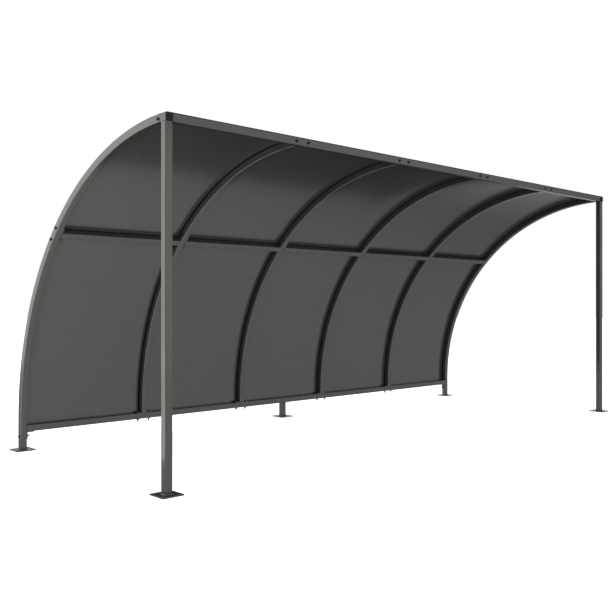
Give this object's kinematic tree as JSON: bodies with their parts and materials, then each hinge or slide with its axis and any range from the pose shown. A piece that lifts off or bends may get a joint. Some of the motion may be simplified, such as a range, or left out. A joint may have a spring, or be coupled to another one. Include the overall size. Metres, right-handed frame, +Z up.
{
  "type": "bike shelter",
  "caption": "Open-fronted bike shelter: a curved sheet roof and back on bent square-tube ribs, with corner posts in front and bolt-down feet.",
  "frame": {"origin": "on the ground, at the centre of the footprint of the base plates", "axes": "+X along the shelter, +Y to its closed curved back, +Z up; the open front faces -Y"},
  "size_m": [5.395, 2.095, 2.2073],
  "materials": {
    "coated_frame": "fine-textured dark grey powder coat on steel tube and plate",
    "coated_sheet": "fine-textured dark grey powder coat on steel sheet",
    "black_cap": "black moulded plastic"
  },
  "bodies": {
    "root": {"front_post_left": "coated_frame", "front_post_right": "coated_frame", "front_foot_left": "coated_frame", "front_foot_right": "coated_frame", "rear_foot_left": "coated_frame", "rear_foot_right": "coated_frame", "middle_foot": "coated_frame", "middle_leg": "coated_frame", "end_rib_left": "coated_frame", "end_rib_right": "coated_frame", "end_cap_left": "black_cap", "end_cap_right": "black_cap", "front_beam": "coated_frame", "beam_end_plate_left": "coated_frame", "beam_end_plate_right": "coated_frame", "rear_rail": "coated_frame", "rail_bracket_left": "coated_frame", "rail_bracket_right": "coated_frame", "rib_1": "coated_frame", "rib_front_plate_1": "coated_frame", "rib_foot_plate_1": "coated_frame", "rib_2": "coated_frame", "rib_front_plate_2": "coated_frame", "rib_foot_plate_2": "coated_frame", "rib_3": "coated_frame", "rib_front_plate_3": "coated_frame", "rib_foot_plate_3": "coated_frame", "rib_4": "coated_frame", "rib_front_plate_4": "coated_frame", "rib_foot_plate_4": "coated_frame", "purlin_1": "coated_frame", "purlin_plates_1": "coated_frame", "roof_sheet_1": "coated_sheet", "purlin_2": "coated_frame", "purlin_plates_2": "coated_frame", "roof_sheet_2": "coated_sheet", "purlin_3": "coated_frame", "purlin_plates_3": "coated_frame", "roof_sheet_3": "coated_sheet", "purlin_4": "coated_frame", "purlin_plates_4": "coated_frame", "roof_sheet_4": "coated_sheet", "purlin_5": "coated_frame", "purlin_plates_5": "coated_frame", "roof_sheet_5": "coated_sheet"}
  },
  "joints": []
}
